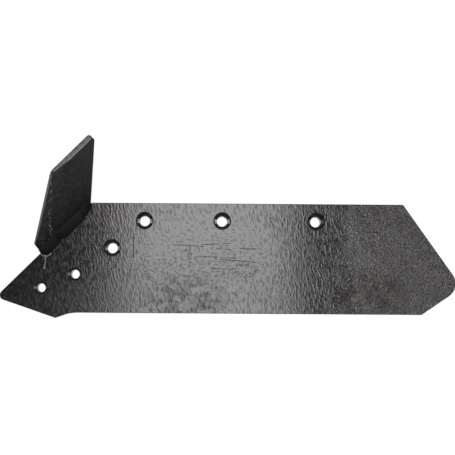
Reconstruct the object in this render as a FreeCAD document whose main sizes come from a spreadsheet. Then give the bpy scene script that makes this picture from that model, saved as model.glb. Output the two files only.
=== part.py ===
import FreeCAD, Part

"""Right-hand plough share with a coulter fin welded to its landside edge.

The share is a blade of flat steel bar that lies on its back face.  The frame's
origin is on the axis of the datum frog-bolt hole, at the back face.  +X runs
along the row of frog-bolt holes towards the wing, +Y towards the top edge and
+Z out of the working face.  All lengths are in millimetres, angles in degrees.
"""

import math
import os

import Sketcher
from FreeCAD import Rotation, Vector

# Each driving size: alias, value, what it is.
SIZES = [
    ("blade_thickness", 12.0, "thickness of the flat bar"),
    ("blade_width", 150.0, "top edge to cutting edge"),
    ("hole_row_inset", 24.0, "top edge to the row of frog-bolt holes"),
    ("corner_setback", 71.0, "datum hole to the landside end of the top edge, along the row"),
    ("top_edge_length", 423.0, "top edge, to the sharp corner at the wing"),
    ("top_corner_radius", 2.5, "rounding of the top corner at the wing"),
    ("landside_angle", 44.6, "landside edge to the hole row"),
    ("nose_tip_rise", 20.45, "sharp nose tip above the line of the cutting edge"),
    ("nose_tip_radius", 6.5, "rounding of the nose tip"),
    ("nose_edge_angle", 18.9, "nose lower edge below the hole row"),
    ("heel_drop", 7.5, "sharp heel of the nose below the line of the cutting edge"),
    ("heel_radius", 3.0, "rounding of the nose heel"),
    ("heel_rise_angle", 20.5, "short edge that rises from the heel to the cutting edge"),
    ("heel_blend_radius", 58.0, "hollow blend of that edge into the cutting edge"),
    ("wing_end_angle", 54.2, "wing end below the hole row"),
    ("wing_point_rise", 37.8, "sharp wing point above the line of the cutting edge"),
    ("wing_radius", 21.0, "rounding of the wing point"),
    ("wing_toe_angle", 34.6, "wing point to the cutting edge, above the hole row"),
    ("arris_radius", 0.8, "soft arris round the working face"),
    ("edge_bevel_width", 24.0, "bevel under the cutting edge"),
    ("edge_land", 4.0, "steel left at the cutting edge above the bevel"),
    ("row_pitch_near", 105.6, "datum hole to the middle hole of the row"),
    ("row_pitch_far", 127.9, "middle hole to the wing hole of the row"),
    ("landside_hole_back", 44.0, "datum hole to the landside hole, along the row"),
    ("landside_hole_drop", 37.4, "datum hole to the landside hole, across the row"),
    ("frog_hole_diameter", 14.0, "clearance hole of a frog bolt"),
    ("frog_head_diameter", 24.0, "countersink of a frog bolt, at the working face"),
    ("frog_nib_width", 6.0, "width of the slot for the two nibs of the bolt head"),
    ("frog_nib_span", 20.6, "nib slot, end to end"),
    ("nose_hole_back", 94.5, "datum hole to the first nose hole, along the row"),
    ("nose_hole_drop", 73.5, "datum hole to the first nose hole, across the row"),
    ("nose_hole_pitch", 50.0, "first nose hole to the second"),
    ("nose_hole_angle", 22.2, "line of the nose holes to the hole row"),
    ("nose_hole_diameter", 12.0, "clearance hole of a nose bolt"),
    ("nose_head_diameter", 18.4, "countersink of a nose bolt, at the working face"),
    ("nose_nib_width", 4.4, "width of its nib slot"),
    ("nose_nib_span", 19.0, "its nib slot, end to end"),
    ("countersink_angle", 90.0, "included angle of every countersink"),
    ("fin_lean", 22.5, "fin out of square to the blade, towards the furrow wall"),
    ("fin_thickness", 8.0, "thickness of the fin"),
    ("fin_run", 100.15, "toe of the fin to the top corner, along the landside edge"),
    ("fin_height", 92.2, "working face to the top edge of the fin, up the fin"),
    ("fin_base_length", 88.1, "fin along the back face"),
    ("fin_toe_angle", 79.0, "short toe edge to the base"),
    ("fin_toe_length", 27.6, "short toe edge, from the back face"),
    ("fin_lead_angle", 42.2, "leading edge to the base"),
    ("fin_heel_angle", 55.2, "rear edge to the base"),
    ("fin_toe_radius", 3.0, "rounding of the low front corner"),
    ("fin_shoulder_radius", 12.0, "rounding of the upper front corner"),
    ("fin_apex_radius", 4.5, "rounding of the upper rear corner"),
    ("fin_knife_width", 19.5, "bevel behind the leading edge, on the furrow side"),
    ("fin_knife_land", 3.8, "steel left at the leading edge"),
    ("weld_leg_blade", 9.5, "leg of the fillet weld on the working face"),
    ("weld_leg_fin", 6.0, "leg of the fillet weld up the fin"),
    ("weld_crown_radius", 30.0, "crown of the fillet weld"),
    ("weld_fill", 7.0, "depth that the weld fills behind the knife bevel"),
    ("weld_fill_length", 28.0, "length of that fill, from the start of the weld"),
    ("weld_start", 4.6, "toe of the fin to the start of the fillet weld"),
    ("weld_length", 91.9, "length of the fillet weld"),
]
SIZE = {alias: value for alias, value, note in SIZES}

CUT_CLEARANCE = 3.0  # how far a cutting profile runs clear of the steel
TOLERANCE = 0.01

ONE_SIDE, THROUGH_ALL = "Length", "ThroughAll"


# ---------------------------------------------------------------- document

def make_sheet(doc):
    """Puts the driving sizes in a spreadsheet, one alias a row."""
    sheet = doc.addObject("Spreadsheet::Sheet", "Sizes")
    for row, (alias, value, note) in enumerate(SIZES, start=1):
        sheet.set(f"A{row}", alias)
        sheet.set(f"B{row}", str(value))
        sheet.setAlias(f"B{row}", alias)
        sheet.set(f"C{row}", note)
    doc.recompute()
    return sheet


def make_body(doc, label):
    """Starts a body whose label is the name of the sub-part."""
    body = doc.addObject("PartDesign::Body", label)
    body.Label = label
    doc.recompute()
    return body


def make_sketch(body, name, role="XY_Plane", offset=None):
    """Attaches a sketch to one of the body's own origin planes.

    offset is an expression for the attachment offset, as a placement.
    """
    plane = next(f for f in body.Origin.OriginFeatures if f.Role == role)
    sketch = body.newObject("Sketcher::SketchObject", name)
    sketch.AttachmentSupport = (plane, "")
    sketch.MapMode = "FlatFace"
    if offset:
        sketch.setExpression("AttachmentOffset", offset)
    return sketch


def constrain(sketch, *terms, size=None, name=None):
    """Adds a constraint; a dimension is bound to an expression in the sheet."""
    index = sketch.addConstraint(Sketcher.Constraint(*terms))
    if size is not None:
        sketch.renameConstraint(index, name)
        sketch.setExpression(f"Constraints.{name}", size)
    return index


def line_through(sketch, start, end):
    return sketch.addGeometry(Part.LineSegment(start, end), False)


def guide_point(sketch, at):
    """Adds a construction point, such as the sharp corner of a rounding."""
    return sketch.addGeometry(Part.Point(at), True)


def polar(length, angle):
    """A vector of this length at this angle to the X axis."""
    return Vector(length * math.cos(math.radians(angle)),
                  length * math.sin(math.radians(angle)), 0)


def slide_to(start, angle, level):
    """The point at this Y on the line at this angle through the start."""
    return Vector(start.x + (level - start.y) / math.tan(math.radians(angle)), level, 0)


# ---------------------------------------------------------------- outlines

def rounded_loop(sketch, corners):
    """Draws a closed loop of straight edges, counter-clockwise.

    corners holds a sharp corner and its radius alias, or None, for the start
    of each edge.  Rounded corners become tangent arcs bound to their radius.
    Returns the edges, edge i running from corner i to corner i + 1.
    """
    count = len(corners)
    setback = []
    for i, (corner, radius) in enumerate(corners):
        to_last = (corners[i - 1][0] - corner).normalize()
        to_next = (corners[(i + 1) % count][0] - corner).normalize()
        half = to_last.getAngle(to_next) / 2
        reach = SIZE[radius] / math.tan(half) if radius else 0.0
        setback.append((corner + to_last * reach, corner + to_next * reach, to_last, to_next))
    edges = [line_through(sketch, setback[i][1], setback[(i + 1) % count][0])
             for i in range(count)]
    for i, (corner, radius) in enumerate(corners):
        before, after = edges[i - 1], edges[i]
        if radius is None:
            constrain(sketch, "Coincident", before, 2, after, 1)
            continue
        first, last, to_last, to_next = setback[i]
        inward = (to_last + to_next).normalize()
        half = to_last.getAngle(to_next) / 2
        centre = corner + inward * (SIZE[radius] / math.sin(half))
        middle = centre - inward * SIZE[radius]
        arc = sketch.addGeometry(Part.Arc(first, middle, last), False)
        turns_left = (to_last.cross(to_next)).z < 0
        near, far = (1, 2) if turns_left else (2, 1)
        constrain(sketch, "Tangent", before, 2, arc, near)
        constrain(sketch, "Tangent", after, 1, arc, far)
        constrain(sketch, "Radius", arc, SIZE[radius], size=f"Sizes.{radius}", name=radius)
    return edges


def sharp_corner(sketch, at, edge_a, edge_b):
    """Marks where two edges would meet if their corner were not rounded."""
    point = guide_point(sketch, at)
    constrain(sketch, "PointOnObject", point, 1, edge_a)
    constrain(sketch, "PointOnObject", point, 1, edge_b)
    return point


def closed_profile(sketch, points):
    """Draws a sharp-cornered closed profile and returns its edges."""
    edges = [line_through(sketch, points[i], points[(i + 1) % len(points)])
             for i in range(len(points))]
    for i, edge in enumerate(edges):
        constrain(sketch, "Coincident", edges[i - 1], 2, edge, 1)
    return edges


def pin_vertex(sketch, edge, name, x, y, x_size, y_size):
    """Places the start of an edge at two bound coordinates of the sketch."""
    for kind, value, size in (("DistanceX", x, x_size), ("DistanceY", y, y_size)):
        constrain(sketch, kind, -1, 1, edge, 1, value, size=size, name=name + kind[-1])


def pinned_profile(sketch, corners):
    """Draws a closed profile whose corners are (x, y, x expression, y expression)."""
    edges = closed_profile(sketch, [Vector(x, y, 0) for x, y, x_size, y_size in corners])
    for i, (edge, corner) in enumerate(zip(edges, corners)):
        pin_vertex(sketch, edge, f"corner{i}", *corner)
    return edges


# ---------------------------------------------------------------- the blade

def blade_corners():
    """The sharp corners of the blade outline, counter-clockwise from the top corner."""
    top = SIZE["hole_row_inset"]
    bottom = top - SIZE["blade_width"]
    landside_top = Vector(-SIZE["corner_setback"], top, 0)
    tip = slide_to(landside_top, SIZE["landside_angle"], bottom + SIZE["nose_tip_rise"])
    heel = slide_to(tip, -SIZE["nose_edge_angle"], bottom - SIZE["heel_drop"])
    blend = slide_to(heel, SIZE["heel_rise_angle"], bottom)
    wing_top = landside_top + Vector(SIZE["top_edge_length"], 0, 0)
    wing = slide_to(wing_top, -SIZE["wing_end_angle"], bottom + SIZE["wing_point_rise"])
    toe = slide_to(wing, SIZE["wing_toe_angle"], bottom)
    return landside_top, tip, heel, blend, toe, wing, wing_top


def draw_blade_outline(body):
    """The outline of the bar as it is cut, with its roundings as tangent arcs."""
    sketch = make_sketch(body, "BladeOutline")
    landside_top, tip, heel, blend, toe, wing, wing_top = blade_corners()
    landside, nose, rise, cutting, wing_toe, wing_end, top = rounded_loop(sketch, [
        (landside_top, None), (tip, "nose_tip_radius"), (heel, "heel_radius"),
        (blend, "heel_blend_radius"), (toe, None), (wing, "wing_radius"),
        (wing_top, "top_corner_radius")])

    constrain(sketch, "Horizontal", top)
    constrain(sketch, "Horizontal", cutting)
    constrain(sketch, "DistanceY", -1, 1, landside, 1, landside_top.y,
              size="Sizes.hole_row_inset", name="row_inset")
    constrain(sketch, "DistanceX", landside, 1, -1, 1, -landside_top.x,
              size="Sizes.corner_setback", name="corner_setback")
    constrain(sketch, "DistanceY", wing_toe, 1, landside, 1, SIZE["blade_width"],
              size="Sizes.blade_width", name="blade_width")
    directions = [
        (landside, "180 + Sizes.landside_angle", 180 + SIZE["landside_angle"]),
        (nose, "-Sizes.nose_edge_angle", -SIZE["nose_edge_angle"]),
        (rise, "Sizes.heel_rise_angle", SIZE["heel_rise_angle"]),
        (wing_toe, "Sizes.wing_toe_angle", SIZE["wing_toe_angle"]),
        (wing_end, "180 - Sizes.wing_end_angle", 180 - SIZE["wing_end_angle"]),
    ]
    for number, (edge, size, angle) in enumerate(directions):
        constrain(sketch, "Angle", edge, math.radians(angle), size=size, name=f"slope{number}")

    tip_point = sharp_corner(sketch, tip, landside, nose)
    heel_point = sharp_corner(sketch, heel, nose, rise)
    wing_top_point = sharp_corner(sketch, wing_top, top, wing_end)
    wing_point = sharp_corner(sketch, wing, wing_end, wing_toe)
    spans = [
        ("DistanceX", landside, wing_top_point, "top_edge_length"),
        ("DistanceY", cutting, tip_point, "nose_tip_rise"),
        ("DistanceY", heel_point, cutting, "heel_drop"),
        ("DistanceY", cutting, wing_point, "wing_point_rise"),
    ]
    for kind, start, end, alias in spans:
        constrain(sketch, kind, start, 1, end, 1, SIZE[alias],
                  size=f"Sizes.{alias}", name=alias)
    return sketch


UNDERCUT = "Sizes.blade_thickness * tan(Sizes.fin_lean)"


def cut_landside(body):
    """Leans the landside edge in towards the back face, to seat the fin.

    The profile looks along the landside edge: its X is outwards and its Y is up.
    """
    sketch = make_sketch(body, "LandsideUndercut", offset=(
        "placement(vector(-Sizes.corner_setback; Sizes.hole_row_inset; 0); "
        "rotation(90 + Sizes.landside_angle; 0; 90))"))
    thickness = SIZE["blade_thickness"]
    inset = thickness * math.tan(math.radians(SIZE["fin_lean"]))
    clear = CUT_CLEARANCE
    pinned_profile(sketch, [
        (0, thickness, "0", "Sizes.blade_thickness"),
        (-inset, 0, f"-{UNDERCUT}", "0"),
        (-inset, -clear, f"-{UNDERCUT}", f"-{clear}"),
        (clear, -clear, f"{clear}", f"-{clear}"),
        (clear, thickness, f"{clear}", "Sizes.blade_thickness"),
    ])
    return cut(body, "LandsideCut", sketch)


def cut_edge_bevel(body):
    """Bevels the underside behind the cutting edge, right along the bar."""
    sketch = make_sketch(body, "EdgeBevelProfile", role="YZ_Plane")
    top = SIZE["hole_row_inset"]
    edge = top - SIZE["blade_width"]
    width, thickness = SIZE["edge_bevel_width"], SIZE["blade_thickness"]
    rise = (thickness - SIZE["edge_land"]) / width
    edge_size = "Sizes.hole_row_inset - Sizes.blade_width"
    rise_size = "(Sizes.blade_thickness - Sizes.edge_land) / Sizes.edge_bevel_width"
    reach = width / 2
    pinned_profile(sketch, [
        (edge + width, 0, f"{edge_size} + Sizes.edge_bevel_width", "0"),
        (edge - reach, rise * (width + reach), f"{edge_size} - Sizes.edge_bevel_width / 2",
         f"{rise_size} * Sizes.edge_bevel_width * 1.5"),
        (edge - reach, -reach, f"{edge_size} - Sizes.edge_bevel_width / 2",
         "-Sizes.edge_bevel_width / 2"),
        (edge + width, -reach, f"{edge_size} + Sizes.edge_bevel_width",
         "-Sizes.edge_bevel_width / 2"),
    ])
    return cut(body, "EdgeBevel", sketch)


def cut(body, name, sketch):
    """Pockets a profile right through the body, both ways, and checks that it cut."""
    before = body.Shape.Volume
    pocket = body.newObject("PartDesign::Pocket", name)
    pocket.Profile = sketch
    pocket.Type = THROUGH_ALL
    pocket.SideType = "Symmetric"
    finish_feature(body, pocket, name)
    if not body.Shape.Volume < before - TOLERANCE:
        raise RuntimeError(f"{name} cut nothing")
    return pocket


def finish_feature(body, feature, name):
    """Recomputes after a feature and stops if it failed."""
    body.Document.recompute()
    if "Invalid" in feature.State or "Error" in feature.State:
        raise RuntimeError(f"{name} failed: {feature.State}")


def soften_working_face(body):
    """Rounds the arris round the working face, all but the landside edge.

    That edge stays sharp: it is the line that the fin and its weld sit on.
    """
    top = SIZE["blade_thickness"]
    corner = Vector(-SIZE["corner_setback"], SIZE["hole_row_inset"], top)
    outwards = polar(1, 90 + SIZE["landside_angle"])
    names = []
    for number, edge in enumerate(body.Shape.Edges, start=1):
        box = edge.BoundBox
        level = abs(box.ZMin - top) < TOLERANCE and abs(box.ZMax - top) < TOLERANCE
        on_landside = abs((edge.CenterOfMass - corner).dot(outwards)) < TOLERANCE
        if level and not on_landside:
            names.append(f"Edge{number}")
    bar = body.Tip
    fillet = body.newObject("PartDesign::Fillet", "WorkingFaceArris")
    fillet.Base = (bar, names)
    fillet.setExpression("Radius", "Sizes.arris_radius")
    finish_feature(body, fillet, "WorkingFaceArris")


def frog_hole_centres(sketch):
    """Places the frog-bolt holes: the datum, two more in the row, one at the landside."""
    datum = guide_point(sketch, Vector(0, 0, 0))
    constrain(sketch, "Coincident", datum, 1, -1, 1)
    near = guide_point(sketch, Vector(SIZE["row_pitch_near"], 0, 0))
    far = guide_point(sketch, Vector(SIZE["row_pitch_near"] + SIZE["row_pitch_far"], 0, 0))
    landside = guide_point(
        sketch, Vector(-SIZE["landside_hole_back"], -SIZE["landside_hole_drop"], 0))
    for point in (near, far):
        constrain(sketch, "PointOnObject", point, 1, -1)
    offsets = [
        ("DistanceX", datum, near, "row_pitch_near"),
        ("DistanceX", near, far, "row_pitch_far"),
        ("DistanceX", landside, datum, "landside_hole_back"),
        ("DistanceY", landside, datum, "landside_hole_drop"),
    ]
    for kind, start, end, alias in offsets:
        constrain(sketch, kind, start, 1, end, 1, SIZE[alias],
                  size=f"Sizes.{alias}", name=alias)
    return [landside, datum, near, far]


def nose_hole_centres(sketch):
    """Places the two nose holes, on a line of their own."""
    first_at = Vector(-SIZE["nose_hole_back"], -SIZE["nose_hole_drop"], 0)
    second_at = first_at - polar(SIZE["nose_hole_pitch"], SIZE["nose_hole_angle"])
    first = guide_point(sketch, first_at)
    second = guide_point(sketch, second_at)
    for kind, alias in (("DistanceX", "nose_hole_back"), ("DistanceY", "nose_hole_drop")):
        constrain(sketch, kind, first, 1, -1, 1, SIZE[alias], size=f"Sizes.{alias}", name=alias)
    line = sketch.addGeometry(Part.LineSegment(second_at, first_at), True)
    constrain(sketch, "Coincident", line, 1, second, 1)
    constrain(sketch, "Coincident", line, 2, first, 1)
    constrain(sketch, "Distance", line, SIZE["nose_hole_pitch"],
              size="Sizes.nose_hole_pitch", name="nose_hole_pitch")
    constrain(sketch, "Angle", line, math.radians(SIZE["nose_hole_angle"]),
              size="Sizes.nose_hole_angle", name="nose_hole_angle")
    return [second, first]


ON_WORKING_FACE = "placement(vector(0; 0; Sizes.blade_thickness); rotation(0; 0; 0))"


def countersink_depth(kind):
    """Expression for the depth of a countersink of this kind."""
    return (f"(Sizes.{kind}_head_diameter - Sizes.{kind}_hole_diameter) / 2"
            " / tan(Sizes.countersink_angle / 2)")


def drill_bolt_holes(body, kind, place_centres):
    """Drills one set of countersunk bolt holes and broaches their nib slots.

    kind is frog or nose; the nib slot is as deep as the countersink, so the
    clearance hole keeps a full round wall below it.
    """
    title = kind.capitalize()
    holes = make_sketch(body, f"{title}HoleCentres", offset=ON_WORKING_FACE)
    radius = SIZE[f"{kind}_hole_diameter"] / 2
    for number, centre in enumerate(place_centres(holes)):
        at = holes.Geometry[centre]
        circle = holes.addGeometry(
            Part.Circle(Vector(at.X, at.Y, 0), Vector(0, 0, 1), radius), False)
        constrain(holes, "Coincident", circle, 3, centre, 1)
        constrain(holes, "Radius", circle, radius,
                  size=f"Sizes.{kind}_hole_diameter / 2", name=f"radius{number}")
    body.Document.recompute()
    before = body.Shape.Volume
    hole = body.newObject("PartDesign::Hole", f"{title}Holes")
    hole.Profile = holes
    hole.ThreadType = "None"
    hole.DepthType = THROUGH_ALL
    hole.HoleCutType = "Countersink"
    hole.HoleCutCustomValues = True
    hole.setExpression("Diameter", f"Sizes.{kind}_hole_diameter")
    hole.setExpression("HoleCutDiameter", f"Sizes.{kind}_head_diameter")
    hole.setExpression("HoleCutCountersinkAngle", "Sizes.countersink_angle")
    finish_feature(body, hole, f"{title}Holes")

    slots = make_sketch(body, f"{title}NibSlots", offset=ON_WORKING_FACE)
    half_span, half_width = SIZE[f"{kind}_nib_span"] / 2, SIZE[f"{kind}_nib_width"] / 2
    for number, centre in enumerate(place_centres(slots)):
        at = slots.Geometry[centre]
        edges = closed_profile(slots, [
            Vector(at.X - half_span, at.Y - half_width, 0),
            Vector(at.X + half_span, at.Y - half_width, 0),
            Vector(at.X + half_span, at.Y + half_width, 0),
            Vector(at.X - half_span, at.Y + half_width, 0)])
        for edge, direction in zip(edges, ("Horizontal", "Vertical") * 2):
            constrain(slots, direction, edge)
        constrain(slots, "Symmetric", edges[0], 1, edges[2], 1, centre, 1)
        constrain(slots, "DistanceX", edges[0], 1, edges[0], 2, 2 * half_span,
                  size=f"Sizes.{kind}_nib_span", name=f"span{number}")
        constrain(slots, "DistanceY", edges[1], 1, edges[1], 2, 2 * half_width,
                  size=f"Sizes.{kind}_nib_width", name=f"width{number}")
    drilled = body.Shape.Volume
    pocket = body.newObject("PartDesign::Pocket", f"{title}NibPocket")
    pocket.Profile = slots
    pocket.Type = ONE_SIDE
    pocket.setExpression("Length", countersink_depth(kind))
    finish_feature(body, pocket, f"{title}NibPocket")
    if not body.Shape.Volume < drilled - TOLERANCE < before - 2 * TOLERANCE:
        raise RuntimeError(f"the {kind} bolt holes cut nothing")


def build_blade(doc):
    """The share blade: one flat bar, cut, undercut, bevelled, drilled and broached."""
    body = make_body(doc, "share_blade")
    outline = draw_blade_outline(body)
    pad = body.newObject("PartDesign::Pad", "BladePad")
    pad.Profile = outline
    pad.setExpression("Length", "Sizes.blade_thickness")
    finish_feature(body, pad, "BladePad")
    cut_landside(body)
    cut_edge_bevel(body)
    soften_working_face(body)
    drill_bolt_holes(body, "frog", frog_hole_centres)
    drill_bolt_holes(body, "nose", nose_hole_centres)
    return body


# ---------------------------------------------------------------- the fin

def landside_point(outwards, height):
    """Expression for a point beside the toe of the fin, in the blade's frame.

    outwards is square to the landside edge, measured from the edge of the
    working face, and height is above the back face.
    """
    return ("vector(-Sizes.corner_setback - Sizes.fin_run * cos(Sizes.landside_angle)"
            f" - ({outwards}) * sin(Sizes.landside_angle); "
            "Sizes.hole_row_inset - Sizes.fin_run * sin(Sizes.landside_angle)"
            f" + ({outwards}) * cos(Sizes.landside_angle); {height})")


def fin_corners():
    """The sharp corners of the fin on its furrow side, counter-clockwise from the toe."""
    lean = math.radians(SIZE["fin_lean"])
    top = SIZE["fin_height"] + SIZE["blade_thickness"] / math.cos(lean)
    toe = Vector(0, 0, 0)
    heel = Vector(SIZE["fin_base_length"], 0, 0)
    low_front = polar(SIZE["fin_toe_length"], SIZE["fin_toe_angle"])
    lead_run = (top - low_front.y) / math.tan(math.radians(SIZE["fin_lead_angle"]))
    shoulder = Vector(low_front.x + lead_run, top, 0)
    apex = Vector(heel.x + top / math.tan(math.radians(SIZE["fin_heel_angle"])), top, 0)
    return toe, heel, apex, shoulder, low_front


def build_fin(doc):
    """The coulter fin: flat bar with a knife bevel, leaning on the landside edge.

    In its own frame X runs up the landside edge from the toe, Y up the fin and
    Z out of its furrow side, which is the plane of the undercut landside edge.
    """
    body = make_body(doc, "coulter_fin")
    sketch = make_sketch(body, "FinOutline")
    toe, heel, apex, shoulder, low_front = fin_corners()
    base, rear, top, lead, toe_edge = rounded_loop(sketch, [
        (toe, None), (heel, None), (apex, "fin_apex_radius"),
        (shoulder, "fin_shoulder_radius"), (low_front, "fin_toe_radius")])
    constrain(sketch, "Coincident", base, 1, -1, 1)
    constrain(sketch, "Horizontal", base)
    constrain(sketch, "Horizontal", top)
    constrain(sketch, "Distance", base, SIZE["fin_base_length"],
              size="Sizes.fin_base_length", name="base_length")
    constrain(sketch, "DistanceY", -1, 1, top, 1, apex.y,
              size="Sizes.fin_height + Sizes.blade_thickness / cos(Sizes.fin_lean)",
              name="top_height")
    slopes = [
        (rear, "Sizes.fin_heel_angle", SIZE["fin_heel_angle"]),
        (lead, "180 + Sizes.fin_lead_angle", 180 + SIZE["fin_lead_angle"]),
        (toe_edge, "180 + Sizes.fin_toe_angle", 180 + SIZE["fin_toe_angle"]),
    ]
    for number, (edge, size, angle) in enumerate(slopes):
        constrain(sketch, "Angle", edge, math.radians(angle), size=size, name=f"slope{number}")
    low_front_point = sharp_corner(sketch, low_front, lead, toe_edge)
    constrain(sketch, "Distance", low_front_point, 1, -1, 1, SIZE["fin_toe_length"],
              size="Sizes.fin_toe_length", name="toe_length")
    pad = body.newObject("PartDesign::Pad", "FinPad")
    pad.Profile = sketch
    pad.Reversed = True
    pad.setExpression("Length", "Sizes.fin_thickness")
    finish_feature(body, pad, "FinPad")
    bevel_knife_edge(body, low_front)
    trim_fin_base(body)
    body.setExpression("Placement", f"placement({landside_point(f'-{UNDERCUT}', '0')}; "
                                    "rotation(Sizes.landside_angle; 0; 90 - Sizes.fin_lean))")
    return body


def bevel_knife_edge(body, low_front):
    """Takes the knife bevel off the furrow side, behind the whole leading edge.

    The profile looks along the leading edge: its X is square to that edge,
    into the fin, and its Y is out of the furrow side.
    """
    lead = "Sizes.fin_lead_angle"
    corner_x = "Sizes.fin_toe_length * cos(Sizes.fin_toe_angle)"
    corner_y = "Sizes.fin_toe_length * sin(Sizes.fin_toe_angle)"
    sketch = make_sketch(body, "KnifeBevelProfile", offset=(
        f"placement(vector({corner_x}; {corner_y}; 0); rotation({lead} - 90; 0; 90))"))
    width = SIZE["fin_knife_width"]
    depth = SIZE["fin_thickness"] - SIZE["fin_knife_land"]
    clear = CUT_CLEARANCE
    slope = depth / width
    depth_size = "(Sizes.fin_thickness - Sizes.fin_knife_land)"
    pinned_profile(sketch, [
        (width, 0, "Sizes.fin_knife_width", "0"),
        (width, clear, "Sizes.fin_knife_width", f"{clear}"),
        (-clear, clear, f"-{clear}", f"{clear}"),
        (-clear, -depth - clear * slope, f"-{clear}",
         f"-{depth_size} * (1 + {clear} / Sizes.fin_knife_width)"),
    ])
    return cut(body, "KnifeBevel", sketch)


def trim_fin_base(body):
    """Trims the base of the leaning fin level with the back face.

    The profile looks along the base: its X is up the fin and its Y is out of
    the furrow side.
    """
    sketch = make_sketch(body, "FinBaseProfile", role="YZ_Plane")
    rise = math.tan(math.radians(SIZE["fin_lean"]))
    clear = CUT_CLEARANCE
    outer = SIZE["fin_thickness"] + clear
    outer_size = f"(Sizes.fin_thickness + {clear})"
    pinned_profile(sketch, [
        (0, 0, "0", "0"),
        (outer * rise, -outer, f"{outer_size} * tan(Sizes.fin_lean)", f"-{outer_size}"),
        (-clear, -outer, f"-{clear}", f"-{outer_size}"),
        (-clear, 0, f"-{clear}", "0"),
    ])
    return cut(body, "FinBaseTrim", sketch)


# ---------------------------------------------------------------- the weld

def draw_fillet_section(body):
    """The section of the fillet: two straight legs and a domed crown.

    It looks along the landside edge: X is outwards and Y is up, from the edge
    of the working face.
    """
    sketch = make_sketch(body, "FilletSection")
    lean = math.radians(SIZE["fin_lean"])
    corner = Vector(0, 0, 0)
    blade_toe = Vector(-SIZE["weld_leg_blade"], 0, 0)
    fin_toe = Vector(math.sin(lean), math.cos(lean), 0) * SIZE["weld_leg_fin"]
    radius = SIZE["weld_crown_radius"]
    chord = fin_toe - blade_toe
    dome = radius - math.sqrt(radius ** 2 - (chord.Length / 2) ** 2)
    crown = (blade_toe + fin_toe) * 0.5 + Vector(-chord.y, chord.x, 0).normalize() * dome

    fin_leg = line_through(sketch, fin_toe, corner)
    blade_leg = line_through(sketch, corner, blade_toe)
    arc = sketch.addGeometry(Part.Arc(blade_toe, crown, fin_toe), False)
    constrain(sketch, "Coincident", fin_leg, 2, blade_leg, 1)
    constrain(sketch, "Coincident", blade_leg, 1, -1, 1)
    constrain(sketch, "Horizontal", blade_leg)
    # The arc runs counter-clockwise, from the fin to the blade.
    constrain(sketch, "Coincident", arc, 1, fin_leg, 1)
    constrain(sketch, "Coincident", arc, 2, blade_leg, 2)
    constrain(sketch, "Radius", arc, radius, size="Sizes.weld_crown_radius", name="crown")
    constrain(sketch, "Distance", blade_leg, SIZE["weld_leg_blade"],
              size="Sizes.weld_leg_blade", name="leg_blade")
    pin_vertex(sketch, fin_leg, "fin_toe", fin_toe.x, fin_toe.y,
               "Sizes.weld_leg_fin * sin(Sizes.fin_lean)",
               "Sizes.weld_leg_fin * cos(Sizes.fin_lean)")
    return sketch


def draw_fill_section(body):
    """The section of the weld behind the knife bevel, from the back face up."""
    sketch = make_sketch(body, "FillSection")
    lean = math.radians(SIZE["fin_lean"])
    leg, fill = SIZE["weld_leg_fin"], SIZE["weld_fill"]
    depth = SIZE["blade_thickness"]
    leg_x, leg_y = leg * math.sin(lean), leg * math.cos(lean)
    fill_x, fill_y = fill * math.cos(lean), fill * math.sin(lean)
    fill_wide, foot_in = fill / math.cos(lean), depth * math.tan(lean)
    leg_x_size = "Sizes.weld_leg_fin * sin(Sizes.fin_lean)"
    leg_y_size = "Sizes.weld_leg_fin * cos(Sizes.fin_lean)"
    pinned_profile(sketch, [
        (leg_x, leg_y, leg_x_size, leg_y_size),
        (-foot_in, -depth, f"-{UNDERCUT}", "-Sizes.blade_thickness"),
        (fill_wide - foot_in, -depth,
         f"Sizes.weld_fill / cos(Sizes.fin_lean) - {UNDERCUT}", "-Sizes.blade_thickness"),
        (leg_x + fill_x, leg_y - fill_y,
         f"{leg_x_size} + Sizes.weld_fill * cos(Sizes.fin_lean)",
         f"{leg_y_size} - Sizes.weld_fill * sin(Sizes.fin_lean)"),
    ])
    return sketch


def build_furrow_side_weld(doc, fin):
    """The fillet weld between the working face and the fin's furrow side.

    At the toe it also fills the wedge behind the knife bevel, so the finished
    bead is the run of weld less the fin.
    """
    run = make_body(doc, "FilletWeldRun")
    fillet = run.newObject("PartDesign::Pad", "FilletPad")
    fillet.Profile = draw_fillet_section(run)
    fillet.setExpression("Length", "Sizes.weld_length")
    finish_feature(run, fillet, "FilletPad")
    fill_section = draw_fill_section(run)
    fill = run.newObject("PartDesign::Pad", "FillPad")
    fill.Profile = fill_section
    fill.setExpression("Length", "Sizes.weld_fill_length")
    finish_feature(run, fill, "FillPad")
    start = landside_point("0", "Sizes.blade_thickness")
    run.setExpression("Placement", (
        f"placement({start} + Sizes.weld_start * vector(cos(Sizes.landside_angle); "
        "sin(Sizes.landside_angle); 0); rotation(90 + Sizes.landside_angle; 0; 90))"))
    bead = doc.addObject("Part::Cut", "furrow_side_weld")
    bead.Base = run
    bead.Tool = fin
    bead.Label = "furrow_side_weld"
    bead.Refine = True
    return bead


# ---------------------------------------------------------------- hand-out

def check(doc, parts):
    """Stops if any object failed or any sub-part is not one valid solid."""
    for item in doc.Objects:
        if "Invalid" in item.State or "Error" in item.State:
            raise RuntimeError(f"{item.Name} is in state {item.State}")
    for part in parts:
        if part.Shape.isNull() or not part.Shape.isValid():
            raise RuntimeError(f"{part.Label} has no valid shape")
        if len(part.Shape.Solids) != 1:
            raise RuntimeError(f"{part.Label} has {len(part.Shape.Solids)} solids")


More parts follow.
